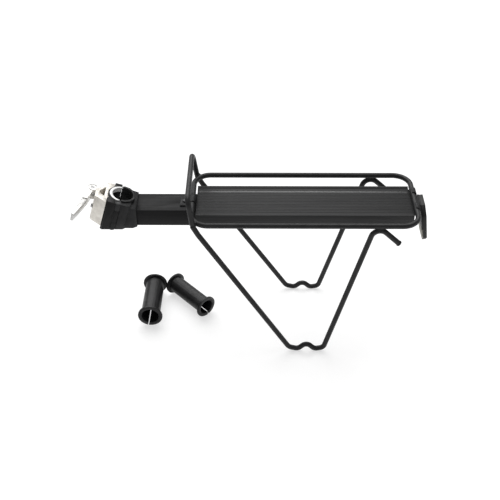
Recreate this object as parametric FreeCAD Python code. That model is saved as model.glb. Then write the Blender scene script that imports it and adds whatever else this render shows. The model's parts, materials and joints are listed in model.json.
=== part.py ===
"""Seatpost-mounted bicycle rear rack with a quick-release clamp.

Frame: the origin is on the seatpost bore's axis at half its height. +X runs rearward along the
beam, +Z is up and -Y is the bicycle's left side. Lengths are millimetres, angles are degrees.
"""
import FreeCAD
import Part
import math
import os

from FreeCAD import Vector

# Clamp, in its own upright frame: bore along Z, rear along +X. It is then leaned back as a whole.
LEAN = 17.0
BORE_R = 15.9
CLAMP_HALF_H = 24.0
NEAR_Y = -26.0
FAR_Y = 27.0
BODY_FRONT_X = -2.5
GATE_REAR_X = -3.0
GATE_FRONT_X = -22.0
GATE_RING_X = -1.8
GATE_RING_R = (18.2, 20.2)
CLAMP_LOW = -40.0
CLAMP_FLOOR_Z = -23.5
PAD_DEPTH = 2.0
PAD_HALF_H = 19.0
HINGE_XY = (-3.5, -22.3)
HINGE_PIN_R = 2.5
KNUCKLE_R = 5.2
KNUCKLE_HALF_H = 11.0
KNUCKLE_GAP = 0.4
RUNNING_GAP = 0.05
EAR_PIN_XY = (6.0, 22.0)
EAR_PIN_R = 2.0
EAR_PIN_HALF_L = 12.0
EAR_EYE_R = 3.5
EAR_HALF_H = 20.0
BOLT_R = 3.0
BOLT_SLOT_HALF_H = 3.8
BOLT_Y = 22.0
BOLT_SLOT_Y = 18.2
YOKE_BOSS_X = -33.0
YOKE_NOSE_X = -39.0
YOKE_HALF_H = 21.0
YOKE_LOW = -25.0
WASHER_X = (-38.2, -35.6)
WASHER_R = 6.5
LEVER_PIVOT_X = -46.0
LEVER_EYE_R = 5.4
LEVER_HEAD_R = 7.5
LEVER_HEAD_HALF_H = 9.0
LEVER_PIN_R = 2.6
LEVER_REACH = 74.0

# Beam and deck
BEAM_FRONT_X = 28.0
BEAM_REAR_X = 398.0
BEAM_HALF_W = 21.5
BEAM_TOP_Z = 9.5
BEAM_H = 28.0
BEAM_WALL = 2.0
BEAM_SCREW_R = 2.0
SHOULDER_HALF_W = 22.8
SPIGOT_REAR_X = 60.0
SPIGOT_SCREW_X = (38.0, 52.0)
DECK_FRONT_X = 119.0
DECK_REAR_X = 446.5
DECK_HALF_W = 38.5
DECK_FLOOR_HALF_W = 33.5
DECK_T = 1.6
DECK_LIP_Z = 13.0
DECK_SKIRT_Z = -4.0
DECK_TONGUE_X = 449.1
DECK_TONGUE_DROP = 0.6
DECK_RIB_PITCH = 4.0
DECK_GROOVE = 0.25
DECK_BLIND = 0.8

# Bent wire
WIRE_R = 4.1
RAIL_Z = 14.5
RAIL_FRONT_X = 113.0
RAIL_REAR_X = 451.0
RAIL_HALF_W = 66.2
RAIL_CORNER_R = 26.0
RAIL_CORNER_IN = 3.1
STRAP_Y = (-20.0, 20.0)
STRAP_HALF_W = 7.0
STRAP_T = 1.6
STRAP_SCREW_X = 430.0
FRONT_STRAP_SCREW_X = 101.0
HOOP_TOP = (110.5, 57.0)
HOOP_HALF_W = 63.5
STRUT_SPLAY = 10.0
STRUT_TOP_Y = 66.2
FOOT_Z = -229.0

# Rear reflector
TAIL_X = 457.5
TAIL_TOP_Z = 15.0
TAIL_TILT = 8.0
TAIL_HALF_W = 27.0
TAIL_H = 68.0
TAIL_BRACKET_H = 38.0
TAIL_T = 2.0

# Seatpost shims, lying on the floor that the strut feet touch
SHIM_L = 85.0
SHIM_FLANGE_T = 3.0
SHIM_SLIT = 1.4
SHIM_LARGE_R = (15.8, 14.35)
SHIM_SMALL_R = (14.2, 12.75)
SHIM_FLANGE_EXTRA = 4.7


def save(node, shape):
    """Write one node's STEP file."""
    if not shape.isValid() or not shape.Solids:
        raise ValueError(node + " is not a valid solid")
    shape.exportStep(os.path.join("parts", node + ".step"))
    print(node, len(shape.Solids), round(shape.Volume, 1))


def box(x, y, z):
    """A box from three (low, high) pairs."""
    corner = Vector(x[0], y[0], z[0])
    return Part.makeBox(x[1] - x[0], y[1] - y[0], z[1] - z[0], corner)


def rod(start, end, radius):
    """A round bar between two points."""
    run = Vector(*end) - Vector(*start)
    return Part.makeCylinder(radius, run.Length, Vector(*start), run)


def upright(xy, radius, z):
    """A cylinder parallel to Z from z[0] to z[1]."""
    return Part.makeCylinder(radius, z[1] - z[0], Vector(xy[0], xy[1], z[0]))


def prism(points, z):
    """A polygon in plan, extruded from z[0] to z[1]."""
    corners = [Vector(x, y, z[0]) for x, y in points]
    face = Part.Face(Part.makePolygon(corners + corners[:1]))
    return face.extrude(Vector(0, 0, z[1] - z[0]))


def profile_along_x(points, x):
    """A polygon in (y, z), extruded from x[0] to x[1]."""
    corners = [Vector(x[0], y, z) for y, z in points]
    face = Part.Face(Part.makePolygon(corners + corners[:1]))
    return face.extrude(Vector(x[1] - x[0], 0, 0))


def leaned(shape):
    """Lean a clamp piece back to the seatpost's angle."""
    return shape.rotated(Vector(0, 0, 0), Vector(0, 1, 0), LEAN)


def group(shapes):
    """Separate solids kept together in one node."""
    return Part.Compound([solid for shape in shapes for solid in shape.Solids])


def bent_wire(points, bend_r, closed=False):
    """A round wire along straight runs that are joined by tangent arcs."""
    corners = [Vector(*p) for p in points]
    count = len(corners)
    turning = range(count) if closed else range(1, count - 1)
    cuts = {}
    for i in turning:
        before = (corners[i - 1] - corners[i]).normalize()
        after = (corners[(i + 1) % count] - corners[i]).normalize()
        half = before.getAngle(after) / 2
        radius = bend_r[i] if isinstance(bend_r, dict) else bend_r
        reach = radius / math.tan(half)
        inward = (before + after).normalize()
        middle = corners[i] + inward * (radius / math.sin(half) - radius)
        cuts[i] = (corners[i] + before * reach, middle, corners[i] + after * reach)
    edges = []
    for i in range(count if closed else count - 1):
        nxt = (i + 1) % count
        start = cuts[i][2] if i in cuts else corners[i]
        end = cuts[nxt][0] if nxt in cuts else corners[nxt]
        edges.append(Part.makeLine(start, end))
        if nxt in cuts:
            edges.append(Part.Arc(*cuts[nxt]).toShape())
    path = Part.Wire(edges)
    start = edges[0].valueAt(edges[0].FirstParameter)
    ahead = edges[0].tangentAt(edges[0].FirstParameter)
    ring = Part.Wire([Part.Edge(Part.Circle(start, ahead, WIRE_R))])
    solid = path.makePipeShell([ring], True, False)
    return solid if solid.Volume > 0 else solid.reversed()


def above_floor(shape):
    """Trim a clamp piece at the clamp's level underside."""
    return shape.cut(box((-80, 80), (-60, 60), (-90, CLAMP_FLOOR_Z)))


def shoulder():
    """Sloping shoulder between the clamp and the beam, drawn in the rack's own frame."""
    outline = [(4.0, CLAMP_FLOOR_Z), (4.0, 19.0), (13.0, 17.5), (28.0, 11.5), (28.0, -20.5), (21.0, CLAMP_FLOOR_Z)]
    corners = [Vector(x, -SHOULDER_HALF_W, z) for x, z in outline]
    side = Part.Face(Part.makePolygon(corners + corners[:1]))
    return side.extrude(Vector(0, 2 * SHOULDER_HALF_W, 0))


def spigot():
    """Block that fills the beam's front end."""
    y = (BEAM_WALL - BEAM_HALF_W, BEAM_HALF_W - BEAM_WALL)
    z = (BEAM_TOP_Z - BEAM_H + BEAM_WALL, BEAM_TOP_Z - BEAM_WALL)
    block = box((20.0, SPIGOT_REAR_X), y, z)
    return block.cut([upright((x, 0), BEAM_SCREW_R, (-40, 0)) for x in SPIGOT_SCREW_X])


def clamp_body():
    """Cast body: rear half of the bore, hinge lugs, bolt ear, shoulder and beam spigot."""
    height = (CLAMP_LOW, CLAMP_HALF_H)
    ring = upright((0, 0), BORE_R + 3.7, height).common(box((BODY_FRONT_X, 40), (-40, 40), (-40, 40)))
    near = prism([(BODY_FRONT_X, -8.0), (BODY_FRONT_X, NEAR_Y + 6.5), (BODY_FRONT_X + 3.5, NEAR_Y),
                  (12.0, NEAR_Y), (15.0, NEAR_Y + 3.0), (15.0, -8.0)], height)
    ear = prism([(BODY_FRONT_X, 8.0), (BODY_FRONT_X, FAR_Y), (9.0, FAR_Y), (12.0, FAR_Y - 4.0), (12.0, 8.0)],
                (-EAR_HALF_H, EAR_HALF_H))
    lip = upright((0, 0), BORE_R + 3.4, (CLAMP_HALF_H, CLAMP_HALF_H + 2.4))
    lip = lip.common(box((BODY_FRONT_X + 2, 40), (-40, 40), (0, 40)))
    block = ring.fuse([near, ear, lip])
    for side in (-1, 1):
        end = CLAMP_HALF_H if side > 0 else CLAMP_LOW
        z = sorted((side * (KNUCKLE_HALF_H + KNUCKLE_GAP), end))
        block = block.fuse(upright(HINGE_XY, KNUCKLE_R, z))
    block = leaned(block).fuse([shoulder(), spigot()])
    middle = (-KNUCKLE_HALF_H - KNUCKLE_GAP, KNUCKLE_HALF_H + KNUCKLE_GAP)
    cuts = [
        upright((0, 0), BORE_R, (-60, 60)),
        pad_space(),
        upright(HINGE_XY, KNUCKLE_R + KNUCKLE_GAP, middle),
        upright(HINGE_XY, HINGE_PIN_R, (-CLAMP_HALF_H, CLAMP_HALF_H)),
        box((-20, 14), (BOLT_SLOT_Y, 40), (-BOLT_SLOT_HALF_H, BOLT_SLOT_HALF_H)),
        upright(EAR_PIN_XY, EAR_PIN_R, (-EAR_PIN_HALF_L, EAR_PIN_HALF_L)),
    ]
    return above_floor(block.cut([leaned(cut) for cut in cuts]))


def pad_space():
    """The shallow pocket behind the bore that holds the rubber pad."""
    ring = upright((0, 0), BORE_R + PAD_DEPTH, (-PAD_HALF_H, PAD_HALF_H))
    ring = ring.cut(upright((0, 0), BORE_R, (-PAD_HALF_H, PAD_HALF_H)))
    return ring.common(prism([(0, 0), (20, -34), (20, 34)], (-PAD_HALF_H, PAD_HALF_H)))


def gate_ring(radius, z):
    """Round bar on the gate's own centre, which lies in front of the bore's axis."""
    return upright((GATE_RING_X, 0), radius, z)


def gate_blocks(z):
    """Hinge block on the left and bolt tab on the right of the gate's ring."""
    hinge = prism([(GATE_REAR_X, NEAR_Y + 9.5), (GATE_REAR_X - 4.5, NEAR_Y), (GATE_FRONT_X + 3, NEAR_Y),
                   (GATE_FRONT_X, NEAR_Y + 3), (GATE_FRONT_X, -16.0), (-18.0, -10.0), (GATE_REAR_X, -14.0)], z)
    tab = box((-14.0, GATE_REAR_X), (14.0, FAR_Y - 1.5), z)
    return [hinge, tab]


def clamp_gate():
    """Front half of the clamp, hinged on the left and forked for the bolt on the right."""
    height = (CLAMP_LOW, CLAMP_HALF_H)
    shell = gate_ring(GATE_RING_R[1], height).common(box((-40, GATE_REAR_X), (-40, 40), (-40, 40)))
    shell = shell.fuse(gate_blocks(height))
    lug_clear = []
    for side in (-1, 1):
        z = sorted((side * KNUCKLE_HALF_H, side * 50.0))
        lug_clear.append(upright(HINGE_XY, KNUCKLE_R + KNUCKLE_GAP, z))
    shell = shell.cut(lug_clear)
    shell = shell.fuse(upright(HINGE_XY, KNUCKLE_R, (-KNUCKLE_HALF_H, KNUCKLE_HALF_H)))
    shell = shell.cut([
        upright((0, 0), BORE_R, (-60, 60)),
        gate_ring(GATE_RING_R[0], (-60, 60)).common(box((-60, GATE_REAR_X), (-40, 40), (-60, 60))),
        upright(HINGE_XY, HINGE_PIN_R + RUNNING_GAP, (-60, 60)),
        box((-40, 0), (BOLT_SLOT_Y, 40), (-BOLT_SLOT_HALF_H, BOLT_SLOT_HALF_H)),
    ])
    return above_floor(leaned(shell))


def gate_liner():
    """Bare machined half shell inside the gate; it bears on the seatpost."""
    shell = gate_ring(GATE_RING_R[0], (CLAMP_LOW, CLAMP_HALF_H + 1.0))
    shell = shell.cut([upright((0, 0), BORE_R, (-60, 60)), upright(HINGE_XY, KNUCKLE_R + KNUCKLE_GAP, (-60, 60))])
    return above_floor(leaned(shell.common(box((-40, GATE_REAR_X), (-40, 40), (-50, 40)))))


def clamp_yoke():
    """Bright cast yoke on the gate's front, with a ribbed pocket and the bolt's fork."""
    rear = GATE_FRONT_X
    outline = [
        (rear, -24.5), (YOKE_NOSE_X, -14.5), (YOKE_NOSE_X - 1.5, -11.0), (YOKE_NOSE_X - 1.5, 4.0),
        (YOKE_BOSS_X, 11.0), (YOKE_BOSS_X, 26.0), (-14.0, 26.0), (-14.0, -16.0), (rear, -16.0),
    ]
    yoke = prism(outline, (YOKE_LOW, YOKE_HALF_H))
    pocket = [(rear - 4.5, -9.0), (YOKE_NOSE_X + 4.5, -4.5), (YOKE_NOSE_X + 4.5, 2.0), (rear - 4.5, 13.5)]
    yoke = yoke.cut(gate_blocks((-30, 30)) + [
        gate_ring(GATE_RING_R[1], (-30, 30)),
        prism(pocket, (2.0, YOKE_HALF_H)),
        prism(pocket, (YOKE_LOW, -6.0)),
        box((-60, 0), (BOLT_SLOT_Y, 40), (-BOLT_SLOT_HALF_H, BOLT_SLOT_HALF_H)),
        box((-60, rear - 4), (15.5, 40), (13.0, 40)),
        box((-60, rear - 4), (15.5, 40), (-40, -13.0)),
        rod((YOKE_NOSE_X - 8, -9.0, -2.0), (rear, -9.0, -2.0), 2.1),
    ])
    nose = [e for e in yoke.Edges if abs(e.tangentAt(0).z) > 0.9
            and e.BoundBox.XMax < YOKE_NOSE_X + 0.5 and e.Length > 30]
    return leaned(yoke.makeFillet(1.4, nose))


def yoke_screw():
    """Socket screw that ties the yoke to the gate."""
    seat, end = YOKE_NOSE_X - 1.5, GATE_FRONT_X - 0.5
    head = rod((seat - 2.4, -9.0, -2.0), (seat, -9.0, -2.0), 3.6)
    head = head.cut(rod((seat - 5.0, -9.0, -2.0), (seat - 0.9, -9.0, -2.0), 1.8))
    return leaned(head.fuse(rod((seat, -9.0, -2.0), (end, -9.0, -2.0), 2.1)))


def swing_bolt():
    """Bolt with an eye at each end: one on the ear's pin, one for the lever."""
    ear_eye = upright(EAR_PIN_XY, EAR_EYE_R, (-BOLT_SLOT_HALF_H + 0.4, BOLT_SLOT_HALF_H - 0.4))
    lever_eye = upright((LEVER_PIVOT_X, BOLT_Y), LEVER_EYE_R, (-3.4, 3.4))
    shank = rod((EAR_PIN_XY[0], BOLT_Y, 0), (LEVER_PIVOT_X, BOLT_Y, 0), BOLT_R)
    bolt = shank.fuse([ear_eye, lever_eye]).cut([
        upright(EAR_PIN_XY, EAR_PIN_R + RUNNING_GAP, (-20, 20)),
        upright((LEVER_PIVOT_X, BOLT_Y), LEVER_PIN_R + RUNNING_GAP, (-20, 20)),
    ])
    return leaned(bolt.removeSplitter())


def cam_washer():
    """Dished washer that the lever's cam presses on."""
    disc = rod((WASHER_X[0], BOLT_Y, 0), (WASHER_X[1], BOLT_Y, 0), WASHER_R)
    rim = [e for e in disc.Edges if e.Length > 2 * WASHER_R * 3 and e.BoundBox.XMax < WASHER_X[0] + 0.1]
    disc = disc.makeFillet(0.8, rim)
    return leaned(disc.cut(rod((-50, BOLT_Y, 0), (-30, BOLT_Y, 0), BOLT_R + 0.1)))


def lever():
    """Cam head with two cheeks and a curved blade that lies across the yoke."""
    head = upright((LEVER_PIVOT_X, BOLT_Y), LEVER_HEAD_R, (-LEVER_HEAD_HALF_H, LEVER_HEAD_HALF_H))
    tip_y = BOLT_Y - LEVER_REACH
    inner = [Vector(LEVER_PIVOT_X + 1.0, BOLT_Y - 6.0, 0), Vector(-52.5, -18.0, 0), Vector(-63.5, tip_y, 0)]
    outer = [Vector(-67.0, tip_y + 1.5, 0), Vector(-58.5, -14.0, 0), Vector(LEVER_PIVOT_X - 7.3, BOLT_Y + 1.5, 0)]
    edges = [
        Part.Arc(*inner).toShape(),
        Part.makeLine(inner[2], outer[0]),
        Part.Arc(*outer).toShape(),
        Part.makeLine(outer[2], inner[0]),
    ]
    blade = Part.Face(Part.Wire(edges)).extrude(Vector(0, 0, 16)).translated(Vector(0, 0, -8))
    taper = prism([(-40, -8.0), (-40, 40), (-80, 40), (-80, -8.0)], (-9, 9))
    tip = prism([(-40, -8.0), (-80, -8.0), (-80, -60), (-40, -60)], (-6.5, 6.5))
    blade = blade.common(taper.fuse(tip))
    lever_shape = head.fuse(blade).cut([
        box((-54.5, -30), (BOLT_Y - 9, 60), (-3.7, 3.7)),
        upright((LEVER_PIVOT_X, BOLT_Y), LEVER_PIN_R, (-20, 20)),
    ])
    return leaned(lever_shape.removeSplitter())


def beam():
    """Extruded tube that carries the deck."""
    outer = box((BEAM_FRONT_X, BEAM_REAR_X), (-BEAM_HALF_W, BEAM_HALF_W), (BEAM_TOP_Z - BEAM_H, BEAM_TOP_Z))
    inner_z = (BEAM_TOP_Z - BEAM_H + BEAM_WALL, BEAM_TOP_Z - BEAM_WALL)
    inner = box((0, 600), (BEAM_WALL - BEAM_HALF_W, BEAM_HALF_W - BEAM_WALL), inner_z)
    holes = [upright((x, 0), BEAM_SCREW_R, (-40, 0)) for x in SPIGOT_SCREW_X]
    holes += [rod((x, 0, -40), (x, 0, 20), 2.0) for x in deck_screw_x()]
    holes.append(rod((FRONT_STRAP_SCREW_X, 0, 0), (FRONT_STRAP_SCREW_X, 0, 20), 2.0))
    return outer.cut([inner] + holes)


def beam_cap():
    """Plastic plug in the beam's rear end."""
    z = (BEAM_TOP_Z - BEAM_H, BEAM_TOP_Z)
    plate = box((BEAM_REAR_X, BEAM_REAR_X + 3), (-BEAM_HALF_W, BEAM_HALF_W), z)
    wall = BEAM_WALL
    plug = box((BEAM_REAR_X - 10, BEAM_REAR_X), (wall - BEAM_HALF_W, BEAM_HALF_W - wall), (z[0] + wall, z[1] - wall))
    return plate.fuse(plug)


def spigot_screws():
    """Two screws from under the beam into the clamp's spigot."""
    return group([pan_screw(x, 0, BEAM_TOP_Z - BEAM_H, 0.0) for x in SPIGOT_SCREW_X])


def deck_screw_x():
    """Places of the deck's screws along the beam."""
    return [150.0, 235.0, 320.0, 385.0]


def deck():
    """Extruded plate with raised sloping edges and fine lengthwise grooves."""
    floor_z = BEAM_TOP_Z + DECK_T
    edge_t = 2.2
    upper = [(DECK_FLOOR_HALF_W, floor_z), (DECK_HALF_W - edge_t, DECK_LIP_Z), (DECK_HALF_W, DECK_LIP_Z)]
    lower = [(DECK_HALF_W, DECK_SKIRT_Z), (DECK_HALF_W - edge_t, DECK_SKIRT_Z), (DECK_HALF_W - edge_t, BEAM_TOP_Z)]
    right = upper + lower
    left = [(-y, z) for y, z in reversed(right)]
    plate = profile_along_x(right + left, (DECK_FRONT_X, DECK_REAR_X))
    tongue = box((DECK_REAR_X, DECK_TONGUE_X), (-DECK_FLOOR_HALF_W, DECK_FLOOR_HALF_W), (BEAM_TOP_Z, floor_z - DECK_TONGUE_DROP))
    plate = plate.fuse(tongue)
    grooves = []
    lines = int(DECK_FLOOR_HALF_W / DECK_RIB_PITCH)
    for i in range(-lines + 1, lines):
        y = i * DECK_RIB_PITCH
        span = (y - DECK_GROOVE, y + DECK_GROOVE)
        grooves.append(box((0, 600), span, (floor_z - DECK_GROOVE, 20)))
    holes = [upright((x, 0), 2.0, (0, floor_z - DECK_BLIND)) for x in deck_screw_x()]
    holes += [upright((STRAP_SCREW_X, y), 2.0, (0, floor_z - DECK_BLIND)) for y in STRAP_Y]
    return plate.cut(grooves + holes)


def pan_screw(x, y, seat_z, end_z):
    """A screw with a domed head on seat_z and its shank's end at end_z, above or below."""
    up = 1 if end_z > seat_z else -1
    head = Part.makeCylinder(3.6, 1.8, Vector(x, y, seat_z), Vector(0, 0, -up))
    dome = [e for e in head.Edges if abs(e.BoundBox.Center.z - seat_z) > 1.7]
    head = head.makeFillet(0.9, dome)
    return head.fuse(rod((x, y, seat_z), (x, y, end_z), 2.0))


def deck_screws():
    """Row of long screws from under the beam into the deck."""
    top = BEAM_TOP_Z + DECK_T - DECK_BLIND
    return group([pan_screw(x, 0, BEAM_TOP_Z - BEAM_H, top) for x in deck_screw_x()])


def top_rail():
    """Closed loop of wire around the deck."""
    front, rear, half = RAIL_FRONT_X, RAIL_REAR_X, RAIL_HALF_W
    middle = (front + rear) / 2
    halves = []
    for sign in (1, -1):
        run = [(middle, -half * sign, RAIL_Z), (rear, -half * sign, RAIL_Z), (rear, 0, RAIL_Z)]
        halves.append(bent_wire(run, RAIL_CORNER_R))
        run = [(middle, -half * sign, RAIL_Z), (front, -half * sign, RAIL_Z), (front, 0, RAIL_Z)]
        halves.append(bent_wire(run, RAIL_CORNER_R))
    return halves[0].fuse(halves[1:]).removeSplitter()


def hoop():
    """Front hoop that stands on the rail's front corners and leans forward."""
    low_x, low_z = RAIL_FRONT_X + RAIL_CORNER_IN, RAIL_Z + 1.4
    points = [
        (low_x, -STRUT_TOP_Y + 0.6, low_z), (HOOP_TOP[0], -HOOP_HALF_W, HOOP_TOP[1]),
        (HOOP_TOP[0], HOOP_HALF_W, HOOP_TOP[1]), (low_x, STRUT_TOP_Y - 0.6, low_z),
    ]
    return bent_wire(points, 13.0)


def strut_path(side):
    """Corner points of one side strut, which splays outward towards its toes."""
    plan = [
        (RAIL_FRONT_X + RAIL_CORNER_IN, RAIL_Z - 0.9), (124.0, -2.0), (264.0, -226.0), (279.0, FOOT_Z - 1.0), (292.6, -217.0),
        (306.0, FOOT_Z - 1.0), (320.5, -227.0), (385.5, 17.6), (421.0, -15.5),
    ]
    drop = RAIL_Z - FOOT_Z
    return [(x, side * (STRUT_TOP_Y + STRUT_SPLAY * (RAIL_Z - z) / drop), z) for x, z in plan]


def strut(side):
    """V-shaped side strut with two toes and a hook under the rail."""
    bends = {1: 16.0, 2: 12.0, 3: 9.0, 4: 9.0, 5: 9.0, 6: 9.0, 7: 13.0}
    return bent_wire(strut_path(side), bends)


def strut_caps():
    """Soft caps on the cut ends of the two hooks."""
    caps = []
    for side in (-1, 1):
        hook, end = [Vector(*p) for p in strut_path(side)[-2:]]
        caps.append(Part.makeCylinder(WIRE_R + 0.5, 2.5, end, end - hook))
    return group(caps)


def rail_clip():
    """Saddle strap that ties the rail's front bar down to the beam."""
    top = Part.makeCylinder(WIRE_R + 1.2, 22, Vector(RAIL_FRONT_X, -11, RAIL_Z), Vector(0, 1, 0))
    leg = box((RAIL_FRONT_X - WIRE_R - 1.2, RAIL_FRONT_X), (-11, 11), (BEAM_TOP_Z, RAIL_Z))
    tab = box((94.0, RAIL_FRONT_X), (-11, 11), (BEAM_TOP_Z, BEAM_TOP_Z + 2.0))
    bar = Part.makeCylinder(WIRE_R, 60, Vector(RAIL_FRONT_X, -30, RAIL_Z), Vector(0, 1, 0))
    hole = rod((FRONT_STRAP_SCREW_X, 0, 0), (FRONT_STRAP_SCREW_X, 0, 30), 2.0)
    strap = top.fuse([leg, tab]).cut([bar, hole])
    below = box((90, 140), (-20, 20), (0, BEAM_TOP_Z))
    return strap.cut([below, box((RAIL_FRONT_X, 140), (-20, 20), (0, RAIL_Z - 2.0))]).removeSplitter()


def rear_clips():
    """Two small straps under the deck's end that curl up round the rail's rear bar."""
    clips = []
    wrap_r = WIRE_R + STRAP_T
    for y in STRAP_Y:
        span = (y - STRAP_HALF_W, y + STRAP_HALF_W)
        tab = box((STRAP_SCREW_X - 7, RAIL_REAR_X), span, (BEAM_TOP_Z - STRAP_T, BEAM_TOP_Z))
        web = box((RAIL_REAR_X - STRAP_T, RAIL_REAR_X), span, (BEAM_TOP_Z - STRAP_T, RAIL_Z - WIRE_R))
        curl = rod((RAIL_REAR_X, span[0], RAIL_Z), (RAIL_REAR_X, span[1], RAIL_Z), wrap_r)
        curl = curl.cut(box((0, RAIL_REAR_X - STRAP_T), (-60, 60), (0, RAIL_Z + 40)))
        bar = rod((RAIL_REAR_X, -60, RAIL_Z), (RAIL_REAR_X, 60, RAIL_Z), WIRE_R)
        hole = upright((STRAP_SCREW_X, y), 2.0, (0, 30))
        clips.append(tab.fuse([web, curl]).cut([bar, hole]).removeSplitter())
    return group(clips)


def clip_screws():
    """Screws of the front strap and the two rear straps."""
    screws = [pan_screw(FRONT_STRAP_SCREW_X, 0, BEAM_TOP_Z + 2.0, BEAM_TOP_Z - BEAM_WALL)]
    top = BEAM_TOP_Z + DECK_T - DECK_BLIND
    screws += [pan_screw(STRAP_SCREW_X, y, BEAM_TOP_Z - STRAP_T, top) for y in STRAP_Y]
    return group(screws)


def tail_place(shape):
    """Tilt a tail piece, drawn with its top edge at the origin, and put it behind the rail."""
    tilted = shape.rotated(Vector(0, 0, 0), Vector(0, 1, 0), -TAIL_TILT)
    return tilted.translated(Vector(TAIL_X, 0, TAIL_TOP_Z))


def tail_outline(inset, corner):
    """The reflector's outline in (y, z), with cut corners, moved inwards by inset."""
    half, top, bottom = TAIL_HALF_W - inset, -inset, inset - TAIL_H
    return [
        (corner - half, top), (half - corner, top), (half, top - corner), (half, bottom + corner),
        (half - corner, bottom), (corner - half, bottom), (-half, bottom + corner), (-half, top - corner),
    ]


def tail_bracket():
    """Tilted plate behind the rail, with a foot that is welded to the rear bar."""
    plate = profile_along_x(tail_outline(0, 13.0), (0, TAIL_T))
    plate = plate.cut(box((-5, 10), (-60, 60), (-80, -TAIL_BRACKET_H)))
    plate = tail_place(plate.cut([rod((-5, y, -18), (10, y, -18), 2.1) for y in (-17, 17)]))
    foot = box((RAIL_REAR_X, TAIL_X + 1.0), (-12, 12), (TAIL_TOP_Z - 3.0, TAIL_TOP_Z - 0.6))
    leg = box((RAIL_REAR_X, RAIL_REAR_X + 2.4), (-12, 12), (TAIL_TOP_Z - 3.0, RAIL_Z))
    bar = Part.makeCylinder(WIRE_R, 60, Vector(RAIL_REAR_X, -30, RAIL_Z), Vector(0, 1, 0))
    return plate.fuse([foot, leg]).cut(bar).removeSplitter()


def reflector_housing():
    """Moulded tray that holds the lens; its back shows below the bracket."""
    tray = profile_along_x(tail_outline(0.6, 12.8), (TAIL_T, TAIL_T + 6.0))
    recess = profile_along_x(tail_outline(2.4, 12.0), (TAIL_T + 3.0, 20))
    rib = profile_along_x(tail_outline(4.0, 11.4), (TAIL_T - 0.6, TAIL_T))
    rib = rib.common(box((0, 10), (-60, 60), (-80, -TAIL_BRACKET_H - 0.6)))
    return tail_place(tray.cut(recess).fuse(rib))


def reflector_lens():
    """Red lens pressed into the tray."""
    return tail_place(profile_along_x(tail_outline(2.4, 12.0), (TAIL_T + 3.0, TAIL_T + 6.4)))


def reflector_screws():
    """Two screws that hold the tray from the bracket's front."""
    screws = [rod((-2.0, y, -18), (0, y, -18), 3.8).fuse(rod((0, y, -18), (TAIL_T, y, -18), 2.1)) for y in (-17, 17)]
    return tail_place(group(screws))


def shim(radii, place, heading):
    """Split sleeve with a flange at each end, lying on the flanges' rims."""
    outer, inner = radii
    flange_r = outer + SHIM_FLANGE_EXTRA
    far_flange = Part.makeCylinder(flange_r, SHIM_FLANGE_T, Vector(0, 0, SHIM_L - SHIM_FLANGE_T))
    sleeve = Part.makeCylinder(outer, SHIM_L).fuse([Part.makeCylinder(flange_r, SHIM_FLANGE_T), far_flange])
    sleeve = sleeve.cut([Part.makeCylinder(inner, SHIM_L), box((0, 40), (-SHIM_SLIT / 2, SHIM_SLIT / 2), (-1, 90))])
    sleeve = sleeve.removeSplitter().rotated(Vector(0, 0, 0), Vector(0, 0, 1), 12)
    sleeve = sleeve.rotated(Vector(0, 0, 0), Vector(0, 1, 0), 90)
    sleeve = sleeve.rotated(Vector(0, 0, 0), Vector(0, 0, 1), heading)
    floor = FOOT_Z - WIRE_R - 0.2
    return sleeve.translated(Vector(place[0], place[1], floor - sleeve.BoundBox.ZMin))


def main():
    os.makedirs("parts", exist_ok=True)
    clamp_z = (-CLAMP_HALF_H, CLAMP_HALF_H)
    head_z = (-LEVER_HEAD_HALF_H, LEVER_HEAD_HALF_H)
    ear_z = (-EAR_PIN_HALF_L, EAR_PIN_HALF_L)
    save("clamp_body", clamp_body())
    save("saddle_pad", leaned(pad_space()))
    save("gate_hinge_pin", leaned(upright(HINGE_XY, HINGE_PIN_R, clamp_z)))
    save("bolt_ear_pin", leaned(upright(EAR_PIN_XY, EAR_PIN_R, ear_z)))
    save("clamp_gate", clamp_gate())
    save("gate_liner", gate_liner())
    save("clamp_yoke", clamp_yoke())
    save("yoke_screw", yoke_screw())
    save("swing_bolt", swing_bolt())
    save("cam_washer", cam_washer())
    save("quick_release_lever", lever())
    save("lever_pin", leaned(upright((LEVER_PIVOT_X, BOLT_Y), LEVER_PIN_R, head_z)))
    save("support_beam", beam())
    save("beam_end_cap", beam_cap())
    save("spigot_screws", spigot_screws())
    save("deck_plate", deck())
    save("deck_screws", deck_screws())
    save("top_rail", top_rail())
    save("front_hoop", hoop())
    save("left_strut", strut(-1))
    save("right_strut", strut(1))
    save("strut_end_caps", strut_caps())
    save("front_rail_strap", rail_clip())
    save("rear_rail_straps", rear_clips())
    save("strap_screws", clip_screws())
    save("reflector_bracket", tail_bracket())
    save("reflector_housing", reflector_housing())
    save("reflector_lens", reflector_lens())
    save("reflector_screws", reflector_screws())
    save("shim_large", shim(SHIM_LARGE_R, (33.0, -19.0), 89))
    save("shim_small", shim(SHIM_SMALL_R, (68.0, 68.0), -46.8))


main()
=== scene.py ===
"""Looks for the seatpost-mounted rear rack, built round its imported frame. Lengths are metres."""

import json
import math

import bmesh
import bpy
from mathutils import Matrix, Vector, noise


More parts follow.
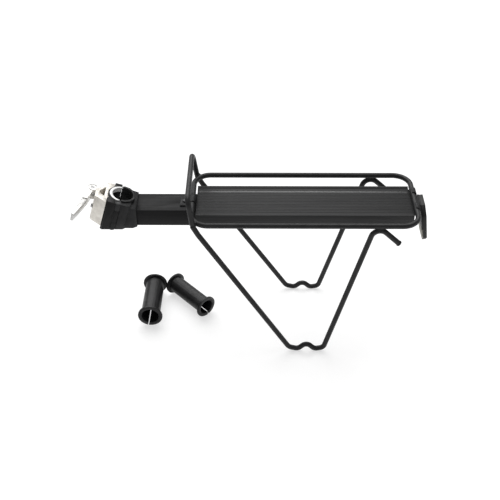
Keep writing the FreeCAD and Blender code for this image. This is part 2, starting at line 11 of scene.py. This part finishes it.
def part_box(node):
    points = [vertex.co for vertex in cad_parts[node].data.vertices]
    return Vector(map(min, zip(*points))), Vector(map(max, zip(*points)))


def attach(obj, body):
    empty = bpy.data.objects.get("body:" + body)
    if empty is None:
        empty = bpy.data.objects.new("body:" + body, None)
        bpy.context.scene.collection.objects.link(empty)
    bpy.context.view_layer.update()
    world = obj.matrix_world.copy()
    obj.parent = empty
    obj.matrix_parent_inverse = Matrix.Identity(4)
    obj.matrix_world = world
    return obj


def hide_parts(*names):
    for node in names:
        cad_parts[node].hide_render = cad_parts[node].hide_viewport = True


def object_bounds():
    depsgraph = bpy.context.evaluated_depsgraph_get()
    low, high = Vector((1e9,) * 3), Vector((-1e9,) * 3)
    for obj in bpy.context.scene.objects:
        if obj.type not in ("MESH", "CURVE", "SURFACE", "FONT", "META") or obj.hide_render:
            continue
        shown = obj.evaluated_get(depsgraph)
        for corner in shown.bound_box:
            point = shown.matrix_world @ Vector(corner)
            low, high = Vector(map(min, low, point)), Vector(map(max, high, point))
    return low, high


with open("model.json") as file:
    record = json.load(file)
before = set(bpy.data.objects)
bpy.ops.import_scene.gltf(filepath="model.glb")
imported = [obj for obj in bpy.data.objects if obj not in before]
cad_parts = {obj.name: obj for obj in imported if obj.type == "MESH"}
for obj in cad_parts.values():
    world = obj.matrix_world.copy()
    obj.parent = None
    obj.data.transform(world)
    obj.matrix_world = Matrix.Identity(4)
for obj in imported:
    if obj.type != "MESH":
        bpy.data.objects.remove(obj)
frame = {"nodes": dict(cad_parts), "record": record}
cad_low, cad_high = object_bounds()

MM = 0.001
LEAN = math.radians(17.0)
WIRE_R = 4.1 * MM


# ---------------------------------------------------------------- materials

class Surface:
    """One procedural material, built up from nodes."""

    def __init__(self, name, rough=0.5, metallic=0.0, specular=0.5, coat=0.0):
        self.material = bpy.data.materials.new(name)
        self.material.use_nodes = True
        self.tree = self.material.node_tree
        self.shader = self.tree.nodes["Principled BSDF"]
        self.shader.inputs["Metallic"].default_value = metallic
        self.shader.inputs["Roughness"].default_value = rough
        self.shader.inputs["Specular IOR Level"].default_value = specular
        self.shader.inputs["Coat Weight"].default_value = coat
        self.shader.inputs["Coat Roughness"].default_value = 0.25
        self.coordinates = self.node("ShaderNodeTexCoord").outputs["Object"]
        self.colour = None
        self.bump = None

    def node(self, kind, **values):
        made = self.tree.nodes.new(kind)
        for key, value in values.items():
            setattr(made, key, value)
        return made

    def link(self, source, target):
        self.tree.links.new(source, target)

    def math(self, operation, first, second=0.0, clamp=False):
        made = self.node("ShaderNodeMath", operation=operation, use_clamp=clamp)
        for socket, value in zip(made.inputs, (first, second)):
            if isinstance(value, (int, float)):
                socket.default_value = value
            else:
                self.link(value, socket)
        return made.outputs[0]

    def noise(self, scale, stretch=(1, 1, 1), detail=4.0):
        """Noise at features per metre, drawn out along an axis whose stretch is small."""
        mapping = self.node("ShaderNodeMapping")
        mapping.inputs["Scale"].default_value = stretch
        self.link(self.coordinates, mapping.inputs["Vector"])
        made = self.node("ShaderNodeTexNoise")
        made.inputs["Scale"].default_value = scale
        made.inputs["Detail"].default_value = detail
        self.link(mapping.outputs[0], made.inputs["Vector"])
        return made.outputs["Fac"]

    def ramp(self, value, low, high, start=0.0, end=1.0):
        """value mapped from low..high to start..end."""
        made = self.node("ShaderNodeMapRange")
        made.clamp = True
        self.link(value, made.inputs["Value"])
        for key, number in (("From Min", low), ("From Max", high), ("To Min", start), ("To Max", end)):
            made.inputs[key].default_value = number
        return made.outputs["Result"]

    def mix(self, factor, first, second):
        made = self.node("ShaderNodeMix", data_type="RGBA")
        self.link(factor, made.inputs[0])
        for socket, value in ((made.inputs[6], first), (made.inputs[7], second)):
            if isinstance(value, tuple):
                socket.default_value = (*value, 1.0)
            else:
                self.link(value, socket)
        return made.outputs[2]

    def cloud(self, dark, light, scale, stretch=(1, 1, 1)):
        """Base colour that drifts between two shades."""
        self.colour = self.mix(self.ramp(self.noise(scale, stretch), 0.35, 0.65), dark, light)
        return self

    def tint(self, factor, colour):
        self.colour = self.mix(factor, self.colour, colour)
        return self

    def worn_edges(self, colour, radius, amount=0.7, scale=400.0):
        """Edges rubbed to another colour, in patches."""
        bevel = self.node("ShaderNodeBevel", samples=4)
        bevel.inputs["Radius"].default_value = radius
        flat = self.node("ShaderNodeNewGeometry").outputs["Normal"]
        dot = self.node("ShaderNodeVectorMath", operation="DOT_PRODUCT")
        self.link(bevel.outputs[0], dot.inputs[0])
        self.link(flat, dot.inputs[1])
        edge = self.ramp(dot.outputs["Value"], 0.97, 0.8)
        patches = self.ramp(self.noise(scale), 0.45, 0.62)
        return self.tint(self.math("MULTIPLY", self.math("MULTIPLY", edge, patches), amount), colour)

    def dust(self, colour, amount=0.25, scale=90.0):
        """Pale dust on faces that look up."""
        parts = self.node("ShaderNodeSeparateXYZ")
        self.link(self.node("ShaderNodeNewGeometry").outputs["Normal"], parts.inputs[0])
        up = self.ramp(parts.outputs["Z"], 0.5, 1.0, 0.0, amount)
        return self.tint(self.math("MULTIPLY", up, self.ramp(self.noise(scale), 0.4, 0.75)), colour)

    def rough(self, low, high, scale, stretch=(1, 1, 1)):
        self.link(self.ramp(self.noise(scale, stretch), 0.3, 0.7, low, high), self.shader.inputs["Roughness"])
        return self

    def relief(self, scale, depth, stretch=(1, 1, 1), detail=4.0):
        """Fine bumps, depth in metres, added over any there already."""
        made = self.node("ShaderNodeBump")
        made.inputs["Distance"].default_value = depth
        made.inputs["Strength"].default_value = 1.0
        self.link(self.noise(scale, stretch, detail), made.inputs["Height"])
        if self.bump is not None:
            self.link(self.bump, made.inputs["Normal"])
        self.bump = made.outputs[0]
        return self

    def above(self, local_z):
        """1 above a height along the clamp's own leaned-back bore."""
        turned = self.node("ShaderNodeVectorRotate", rotation_type="Y_AXIS")
        turned.inputs["Angle"].default_value = -LEAN
        self.link(self.coordinates, turned.inputs["Vector"])
        parts = self.node("ShaderNodeSeparateXYZ")
        self.link(turned.outputs[0], parts.inputs[0])
        return self.ramp(parts.outputs["Z"], local_z - 0.0006, local_z)

    def facing_front(self):
        """1 on faces that look towards -X."""
        parts = self.node("ShaderNodeSeparateXYZ")
        self.link(self.node("ShaderNodeNewGeometry").outputs["Normal"], parts.inputs[0])
        return self.ramp(parts.outputs["X"], -0.7, -0.9)

    def polished_line(self, middle, half):
        """A glossier line at one place across the object, fading out to both sides."""
        parts = self.node("ShaderNodeSeparateXYZ")
        self.link(self.coordinates, parts.inputs[0])
        away = self.math("ABSOLUTE", self.math("SUBTRACT", parts.outputs["Y"], middle))
        self.link(self.ramp(away, half, 0.0, 0.08, 0.6), self.shader.inputs["Specular IOR Level"])
        self.link(self.ramp(away, half, 0.0, 0.48, 0.26), self.shader.inputs["Roughness"])
        return self

    def done(self):
        self.link(self.colour, self.shader.inputs["Base Color"])
        if self.bump is not None:
            self.link(self.bump, self.shader.inputs["Normal"])
        return self.material


def powder_coat(name, dark, light, grain=900.0):
    """Satin black coating with a fine orange-peel skin."""
    made = Surface(name, specular=0.16).cloud(dark, light, 60.0)
    made.worn_edges((0.07, 0.068, 0.066), 0.0005, 0.5)
    made.dust((0.06, 0.06, 0.06), 0.1)
    return made.rough(0.42, 0.58, 140.0).relief(grain, 0.00008)


def extrusion(name, dark, light):
    """Anodised extrusion with drawing lines along X."""
    made = Surface(name, specular=0.08).cloud(dark, light, 420.0, (0.02, 1, 1))
    made.worn_edges((0.1, 0.1, 0.1), 0.0005, 0.6)
    made.dust((0.05, 0.05, 0.05), 0.1)
    return made.relief(2600.0, 0.00005, (0.012, 1, 1))


def beam_coat():
    """The beam's extrusion, evenly satin."""
    made = extrusion("beam_black", (0.011, 0.011, 0.0115), (0.017, 0.017, 0.0175))
    return made.rough(0.4, 0.56, 800.0, (0.02, 1, 1)).done()


DECK_LINE_Y = 0.0258
DECK_LINE_HALF = 0.0042


def deck_coat():
    """The deck's extrusion, rubbed smooth along a line beside its right edge."""
    made = extrusion("deck_black", (0.032, 0.032, 0.0325), (0.043, 0.043, 0.0435))
    return made.polished_line(DECK_LINE_Y, DECK_LINE_HALF).done()


def bright_metal(name, dark, light, stretch=(1, 1, 1), rough=(0.28, 0.45), metallic=0.6,
                 edge=(0.8, 0.79, 0.77)):
    """Bare bright metal with fine scratches and dull patches."""
    made = Surface(name, metallic=metallic, specular=0.5).cloud(dark, light, 120.0, stretch)
    made.worn_edges(edge, 0.0005, 0.8)
    made.rough(rough[0], rough[1], 300.0, stretch)
    return made.relief(1800.0, 0.00005, stretch).done()


def moulded(name, dark, light, rough=(0.42, 0.6), grain=1400.0):
    """Moulded black plastic or rubber with a fine spark-eroded grain."""
    made = Surface(name, specular=0.22).cloud(dark, light, 70.0)
    made.worn_edges((0.06, 0.06, 0.06), 0.0004, 0.4)
    made.dust((0.05, 0.05, 0.05), 0.1)
    return made.rough(rough[0], rough[1], 200.0).relief(grain, 0.0001).done()


# Height along the bore above which the liner is painted near-white, a painted highlight.
LINER_PAINTED_HIGHLIGHT_Z = 0.0175


def bore_liner():
    """Coated dark half shell whose upper bore is painted near-white, a painted highlight for light on the
    bore's wall.
    """
    made = Surface("liner_bare", specular=0.4).cloud((0.01, 0.01, 0.01), (0.02, 0.02, 0.02), 90.0)
    # Painted highlight: near-white colour above a height along the bore, standing in for light on its upper
    # wall.
    made.tint(made.above(LINER_PAINTED_HIGHLIGHT_Z), (0.9, 0.9, 0.89))
    return made.rough(0.38, 0.52, 300.0).relief(1500.0, 0.00005).done()


def reflector_tray():
    """Black moulding with a grey-beige back."""
    made = Surface("housing_grey", specular=0.25).cloud((0.012, 0.012, 0.012), (0.02, 0.02, 0.02), 70.0)
    made.tint(made.facing_front(), (0.2, 0.19, 0.15))
    return made.rough(0.42, 0.58, 200.0).relief(1400.0, 0.0001).done()


def red_lens():
    """Deep red plastic with a clear skin."""
    made = Surface("lens_red", specular=0.6, coat=0.6).cloud((0.32, 0.008, 0.006), (0.55, 0.02, 0.015), 150.0)
    made.shader.inputs["Coat Roughness"].default_value = 0.08
    return made.rough(0.12, 0.24, 260.0).relief(900.0, 0.00004).done()


def wire_coat():
    """Powder coat with a little more gloss, as on bent wire."""
    made = powder_coat("wire_black", (0.012, 0.012, 0.0125), (0.02, 0.02, 0.0205), 1100.0)
    made.shader.inputs["Coat Weight"].default_value = 0.15
    return made.done()


MATERIALS = {
    "clamp_black": powder_coat("cast_black", (0.012, 0.012, 0.0125), (0.024, 0.024, 0.025), 620.0).done(),
    "gate_black": powder_coat("gate_black", (0.005, 0.005, 0.0052), (0.01, 0.01, 0.01), 620.0).done(),
    "liner_bare": bore_liner(),
    "pad_rubber": moulded("pad_rubber", (0.004, 0.004, 0.004), (0.009, 0.009, 0.009), (0.7, 0.85), 2200.0),
    "pin_steel": bright_metal("pin_steel", (0.22, 0.22, 0.23), (0.36, 0.36, 0.36), (1, 1, 0.1)),
    "yoke_silver": bright_metal("yoke_silver", (0.66, 0.63, 0.58), (0.8, 0.77, 0.71), rough=(0.36, 0.55),
                                metallic=0.35),
    "screw_steel": bright_metal("screw_steel", (0.3, 0.3, 0.31), (0.5, 0.5, 0.5)),
    "bolt_steel": bright_metal("bolt_steel", (0.45, 0.46, 0.48), (0.6, 0.61, 0.62), (0.1, 1, 1), (0.16, 0.3)),
    "lever_silver": bright_metal("lever_silver", (0.5, 0.5, 0.49), (0.68, 0.67, 0.65), (1, 0.08, 1),
                                 (0.22, 0.4)),
    "beam_black": beam_coat(),
    "deck_black": deck_coat(),
    "wire_black": wire_coat(),
    "strap_black": powder_coat("strap_black", (0.01, 0.01, 0.0105), (0.018, 0.018, 0.019)).done(),
    "screw_black": bright_metal("screw_black", (0.02, 0.02, 0.021), (0.04, 0.04, 0.041), rough=(0.35, 0.5),
                                edge=(0.12, 0.12, 0.12)),
    "cap_plastic": moulded("cap_plastic", (0.009, 0.009, 0.009), (0.018, 0.018, 0.018)),
    "housing_grey": reflector_tray(),
    "lens_red": red_lens(),
    "shim_plastic": moulded("shim_plastic", (0.007, 0.007, 0.0075), (0.014, 0.014, 0.015),
                            (0.32, 0.48), 900.0),
}

NODE_SLOT = {s["node"]: s["material_slot"] for s in frame["record"]["subparts"]}
NODE_BODY = {n: body for body, nodes in frame["record"]["behaviour"]["bodies"].items() for n in nodes}


def give(piece, slot):
    """Give a piece one slot's material."""
    piece.data.materials.clear()
    piece.data.materials.append(MATERIALS[slot])
    return piece


# ---------------------------------------------------------------- shaping

def add_mesh(name, mesh_bm):
    """Turn a bmesh into an object."""
    mesh = bpy.data.meshes.new(name)
    mesh_bm.normal_update()
    mesh_bm.to_mesh(mesh)
    mesh_bm.free()
    made = bpy.data.objects.new(name, mesh)
    bpy.context.scene.collection.objects.link(made)
    return made


def settle(piece, body, slot, *nodes):
    """Ride, slot and material of a finished piece, and the nodes it stands for."""
    give(piece, slot)
    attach(piece, body)
    if nodes:
        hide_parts(*nodes)
    return piece


def smooth(piece, angle=35.0):
    """Smooth shading that keeps edges sharper than angle."""
    for face in piece.data.polygons:
        face.use_smooth = True
    piece.data.set_sharp_from_angle(angle=math.radians(angle))


def rounded(node, width, segments=3, angle=32.0):
    """A finished copy of a CAD node: flat faces whole again and every hard edge broken."""
    built = bmesh.new()
    built.from_mesh(frame["nodes"][node].data)
    bmesh.ops.remove_doubles(built, verts=built.verts, dist=0.000002)
    bmesh.ops.dissolve_limit(built, angle_limit=math.radians(0.6), verts=built.verts, edges=built.edges)
    piece = add_mesh(node + "_finished", built)
    bevel = piece.modifiers.new("broken_edges", "BEVEL")
    bevel.width = width
    bevel.segments = segments
    bevel.limit_method = "ANGLE"
    bevel.angle_limit = math.radians(angle)
    bevel.use_clamp_overlap = True
    bevel.miter_outer = "MITER_ARC"
    bevel.harden_normals = True
    bpy.context.view_layer.update()
    mesh = bpy.data.meshes.new_from_object(piece.evaluated_get(bpy.context.evaluated_depsgraph_get()))
    piece.modifiers.clear()
    piece.data = mesh
    smooth(piece)
    return settle(piece, NODE_BODY[node], NODE_SLOT[node], node)


def swept(name, points, radius, sides=28, closed=False):
    """A round wire through points that are already close together."""
    built = bmesh.new()
    count = len(points)
    rings = []
    across = None
    for i, point in enumerate(points):
        before = points[i - 1] if closed or i else point
        after = points[(i + 1) % count] if closed or i + 1 < count else point
        ahead = (after - before).normalized()
        if across is None:
            across = ahead.orthogonal().normalized()
        across = (across - ahead * across.dot(ahead)).normalized()
        up = ahead.cross(across)
        turns = [2 * math.pi * k / sides for k in range(sides)]
        ring = [built.verts.new(point + (across * math.cos(t) + up * math.sin(t)) * radius) for t in turns]
        rings.append(ring)
    for i in range(count if closed else count - 1):
        low, high = rings[i], rings[(i + 1) % count]
        for k in range(sides):
            built.faces.new((low[k], low[(k + 1) % sides], high[(k + 1) % sides], high[k]))
    if not closed:
        built.faces.new(reversed(rings[0]))
        built.faces.new(rings[-1])
    bmesh.ops.recalc_face_normals(built, faces=built.faces)
    piece = add_mesh(name, built)
    smooth(piece, 50.0)
    return piece


def rounded_path(corners, bends, longest=0.016):
    """Points along straight runs that are joined by tangent arcs."""
    path = [Vector(corners[0])]
    for i in range(1, len(corners) - 1):
        corner = Vector(corners[i])
        before = (Vector(corners[i - 1]) - corner).normalized()
        after = (Vector(corners[i + 1]) - corner).normalized()
        half = before.angle(after) / 2
        centre = corner + (before + after).normalized() * (bends[i] / math.sin(half))
        reach = bends[i] / math.tan(half)
        start, end = corner + before * reach - centre, corner + after * reach - centre
        turn = start.angle(end)
        count = max(6, int(turn * bends[i] / 0.0012))
        axis = start.cross(end).normalized()
        for k in range(count + 1):
            path.append(centre + Matrix.Rotation(turn * k / count, 3, axis) @ start)
    path.append(Vector(corners[-1]))
    filled = [path[0]]
    for point in path[1:]:
        gap = (point - filled[-1]).length
        pieces = max(1, int(gap / longest))
        last = filled[-1].copy()
        filled += [last.lerp(point, (k + 1) / pieces) for k in range(pieces)]
    return filled


def weld_bead(name, place, axis, radius, height, seed):
    """A lumpy collar of weld where two wires meet."""
    built = bmesh.new()
    bmesh.ops.create_icosphere(built, subdivisions=4, radius=1.0)
    turn = Vector((0, 0, 1)).rotation_difference(Vector(axis)).to_matrix()
    for vert in built.verts:
        lump = 1.0 + 0.16 * noise.noise(vert.co * 2.6 + Vector((seed, 0, 0)))
        ripple = 1.0 + 0.05 * math.sin(vert.co.z * 16.0)
        local = Vector((vert.co.x * radius, vert.co.y * radius, vert.co.z * height)) * lump * ripple
        vert.co = Vector(place) + turn @ local
    piece = add_mesh(name, built)
    smooth(piece, 80.0)
    return settle(piece, "rack", "wire_black")


# ---------------------------------------------------------------- wires

rail_low, rail_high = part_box("top_rail")
hoop_low, hoop_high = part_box("front_hoop")
RAIL_Z = (rail_low.z + rail_high.z) / 2
RAIL_FRONT = rail_low.x + WIRE_R
RAIL_REAR = rail_high.x - WIRE_R
RAIL_HALF = rail_high.y - WIRE_R
RAIL_CORNER_R = 26.0 * MM
FLOOR_Z = cad_low.z


def build_rail():
    """The closed loop round the deck."""
    corners = [
        (RAIL_FRONT, 0, RAIL_Z), (RAIL_FRONT, RAIL_HALF, RAIL_Z), (RAIL_REAR, RAIL_HALF, RAIL_Z),
        (RAIL_REAR, -RAIL_HALF, RAIL_Z), (RAIL_FRONT, -RAIL_HALF, RAIL_Z), (RAIL_FRONT, 0, RAIL_Z),
    ]
    path = rounded_path(corners, [RAIL_CORNER_R] * 6)
    piece = swept("top_rail_wire", path[:-1], WIRE_R, closed=True)
    settle(piece, "rack", "wire_black", "top_rail")


HOOP_X = hoop_low.x + WIRE_R
HOOP_Z = hoop_high.z - WIRE_R
HOOP_HALF = 63.5 * MM
HOOP_BEND_R = 13.0 * MM
LEG_X = RAIL_FRONT + 3.1 * MM
LEG_HALF = RAIL_HALF - 0.6 * MM
LEG_Z = RAIL_Z + 1.4 * MM


def build_hoop():
    """The hoop that stands on the loop's front corners."""
    corners = [
        (LEG_X, -LEG_HALF, LEG_Z), (HOOP_X, -HOOP_HALF, HOOP_Z),
        (HOOP_X, HOOP_HALF, HOOP_Z), (LEG_X, LEG_HALF, LEG_Z),
    ]
    piece = swept("front_hoop_wire", rounded_path(corners, [HOOP_BEND_R] * 4), WIRE_R)
    settle(piece, "rack", "wire_black", "front_hoop")


# One strut's corners in millimetres: along X, height and bend radius.
STRUT_PLAN = (
    (116.1, 13.6, 0), (124.0, -2.0, 16), (264.0, -226.0, 12), (279.0, -230.0, 9), (292.6, -217.0, 9),
    (306.0, -230.0, 9), (320.5, -227.0, 9), (385.5, 17.6, 13), (421.0, -15.5, 0),
)
STRUT_SPLAY = 10.0 / 243.5


def strut_corners(side):
    """Corners of one side strut, which splays outward towards its toes."""
    return [(x * MM, side * (RAIL_HALF + STRUT_SPLAY * (RAIL_Z - z * MM)), z * MM) for x, z, _ in STRUT_PLAN]


def build_struts():
    """Both V-shaped side frames, from the rail's front corners to the open hooks."""
    bends = [bend * MM for _, _, bend in STRUT_PLAN]
    for side, node in ((-1, "left_strut"), (1, "right_strut")):
        piece = swept(node + "_wire", rounded_path(strut_corners(side), bends), WIRE_R)
        settle(piece, "rack", "wire_black", node)


CORNER_WELD = (4.4 * MM, 6.4 * MM)
HOOK_WELD = (3.0 * MM, 8.0 * MM)
HOOK_WELD_X = 391.5 * MM


def build_welds():
    """Weld beads at the front corners and under the rails at the hooks."""
    for side, word in ((-1, "left"), (1, "right")):
        leg = (LEG_X + 1.9 * MM, side * (RAIL_HALF - 2.4 * MM), RAIL_Z + 0.4 * MM)
        weld_bead("weld_corner_" + word, leg, (1, side * -1.1, 0), *CORNER_WELD, 3.0 + side)
        hook = (HOOK_WELD_X, side * (RAIL_HALF + 0.1 * MM), RAIL_Z - WIRE_R - 0.1 * MM)
        weld_bead("weld_hook_" + word, hook, (1, 0, 0), *HOOK_WELD, 7.0 + side)


# ---------------------------------------------------------------- reflector

LENS_HALF = 24.4 * MM
LENS_TOP = -2.6 * MM
LENS_BOTTOM = -65.4 * MM
LENS_CUT = 11.8 * MM
LENS_PLACE = (457.5 * MM, 0, 15.0 * MM)
LENS_TILT = math.radians(8.0)
LENS_ROWS = 24
LENS_COLUMNS = 20


def build_lens():
    """Lens face covered with small pyramids, on the tray's tilt."""
    turn = Matrix.Rotation(-LENS_TILT, 3, "Y")
    place = Vector(LENS_PLACE)
    built = bmesh.new()
    back, face, tip = 5.0 * MM, 7.4 * MM, 8.3 * MM
    rows, columns = LENS_ROWS, LENS_COLUMNS
    pitch_y, pitch_z = 2 * LENS_HALF / columns, (LENS_TOP - LENS_BOTTOM) / rows

    def pinned(x, y, z):
        """A point held inside the outline's cut corners."""
        nearest = min(z - LENS_BOTTOM, LENS_TOP - z)
        limit = LENS_HALF - max(0.0, LENS_CUT - nearest)
        return place + turn @ Vector((x, y * limit / LENS_HALF, z))

    grid = [[built.verts.new(pinned(face, -LENS_HALF + c * pitch_y, LENS_BOTTOM + r * pitch_z))
             for c in range(columns + 1)] for r in range(rows + 1)]
    for r in range(rows):
        for c in range(columns):
            ring = (grid[r][c], grid[r][c + 1], grid[r + 1][c + 1], grid[r + 1][c])
            centre = pinned(tip, -LENS_HALF + (c + 0.5) * pitch_y, LENS_BOTTOM + (r + 0.5) * pitch_z)
            peak = built.verts.new(centre)
            for k in range(4):
                built.faces.new((ring[k], ring[(k + 1) % 4], peak))
    rim = [grid[0][c] for c in range(columns + 1)] + [grid[r][columns] for r in range(1, rows + 1)]
    rim += [grid[rows][c] for c in range(columns - 1, -1, -1)] + [grid[r][0] for r in range(rows - 1, 0, -1)]
    offset = turn @ Vector((back - face, 0, 0))
    deep = [built.verts.new(v.co + offset) for v in rim]
    for k in range(len(rim)):
        nxt = (k + 1) % len(rim)
        built.faces.new((rim[nxt], rim[k], deep[k], deep[nxt]))
    built.faces.new(deep)
    bmesh.ops.recalc_face_normals(built, faces=built.faces)
    settle(add_mesh("reflector_lens_prisms", built), "rack", "lens_red", "reflector_lens")


# ---------------------------------------------------------------- everything else

# How far each piece's hard edges are broken, in millimetres.
EDGE_WIDTH = {
    "clamp_body": 0.9, "clamp_gate": 0.6, "gate_liner": 0.3, "clamp_yoke": 0.8, "yoke_screw": 0.35,
    "swing_bolt": 0.3, "cam_washer": 0.25, "quick_release_lever": 1.0, "lever_pin": 0.3,
    "gate_hinge_pin": 0.3, "bolt_ear_pin": 0.25, "saddle_pad": 0.25, "support_beam": 0.8, "beam_end_cap": 0.5,
    "spigot_screws": 0.2, "deck_plate": 0.22, "deck_screws": 0.2, "strut_end_caps": 0.7,
    "front_rail_strap": 0.4, "rear_rail_straps": 0.35, "strap_screws": 0.2, "reflector_bracket": 0.5,
    "reflector_housing": 0.6, "reflector_screws": 0.5, "shim_large": 0.35, "shim_small": 0.35,
}


FLOOR_HALF = 6.0
FLOOR_GAP = 0.3 * MM
FLOOR_GLOW = 0.62
SURROUND_LEVEL = 0.32
SUN_STRENGTH = 3.3
SUN_SPREAD = math.radians(70.0)
SUN_TURN = (math.radians(-34.0), math.radians(-8.0), 0.0)


def build_surround():
    """An even surround that lights softly and shows white."""
    world = bpy.data.worlds.new("studio")
    bpy.context.scene.world = world
    world.use_nodes = True
    background = world.node_tree.nodes["Background"]
    background.inputs["Color"].default_value = (1.0, 1.0, 1.0, 1.0)
    level = world.node_tree.nodes.new("ShaderNodeMath")
    level.operation = "MULTIPLY_ADD"
    level.inputs[1].default_value = 1.0 - SURROUND_LEVEL
    level.inputs[2].default_value = SURROUND_LEVEL
    seen = world.node_tree.nodes.new("ShaderNodeLightPath").outputs["Is Camera Ray"]
    world.node_tree.links.new(seen, level.inputs[0])
    world.node_tree.links.new(level.outputs[0], background.inputs["Strength"])


def build_stage():
    """A pale floor that glows enough to render white, and a wide soft light overhead."""
    built = bmesh.new()
    bmesh.ops.create_grid(built, x_segments=1, y_segments=1, size=FLOOR_HALF)
    floor = add_mesh("floor", built)
    floor.location = (0.2, 0.0, FLOOR_Z - FLOOR_GAP)
    white = Surface("floor_white", rough=0.9, specular=0.2).cloud((0.44, 0.44, 0.44), (0.47, 0.47, 0.47), 3.0)
    white.shader.inputs["Emission Color"].default_value = (1.0, 1.0, 1.0, 1.0)
    white.shader.inputs["Emission Strength"].default_value = FLOOR_GLOW
    floor.data.materials.append(white.done())
    build_surround()
    sun = bpy.data.lights.new("overhead", "SUN")
    sun.energy = SUN_STRENGTH
    sun.angle = SUN_SPREAD
    above = bpy.data.objects.new("overhead", sun)
    above.rotation_euler = SUN_TURN
    bpy.context.scene.collection.objects.link(above)
    bpy.context.scene.view_settings.view_transform = "Standard"


CAMERA_PLACE = (0.2045, -1.0525, 0.7713)
CAMERA_TURN = (math.radians(50.88), 0.0, math.radians(0.22))
SENSOR_WIDTH = 36.0
FOCAL_LENGTH = 61.07


def build_camera():
    """Looks along +Y, 39 degrees down."""
    lens = bpy.data.cameras.new("camera")
    lens.sensor_width = SENSOR_WIDTH
    lens.lens = FOCAL_LENGTH
    camera = bpy.data.objects.new("camera", lens)
    camera.location = CAMERA_PLACE
    camera.rotation_euler = CAMERA_TURN
    bpy.context.scene.collection.objects.link(camera)
    bpy.context.scene.camera = camera


build_rail()
build_hoop()
build_struts()
build_welds()
build_lens()
for node_name, width_mm in EDGE_WIDTH.items():
    rounded(node_name, width_mm * MM)
build_stage()
build_camera()
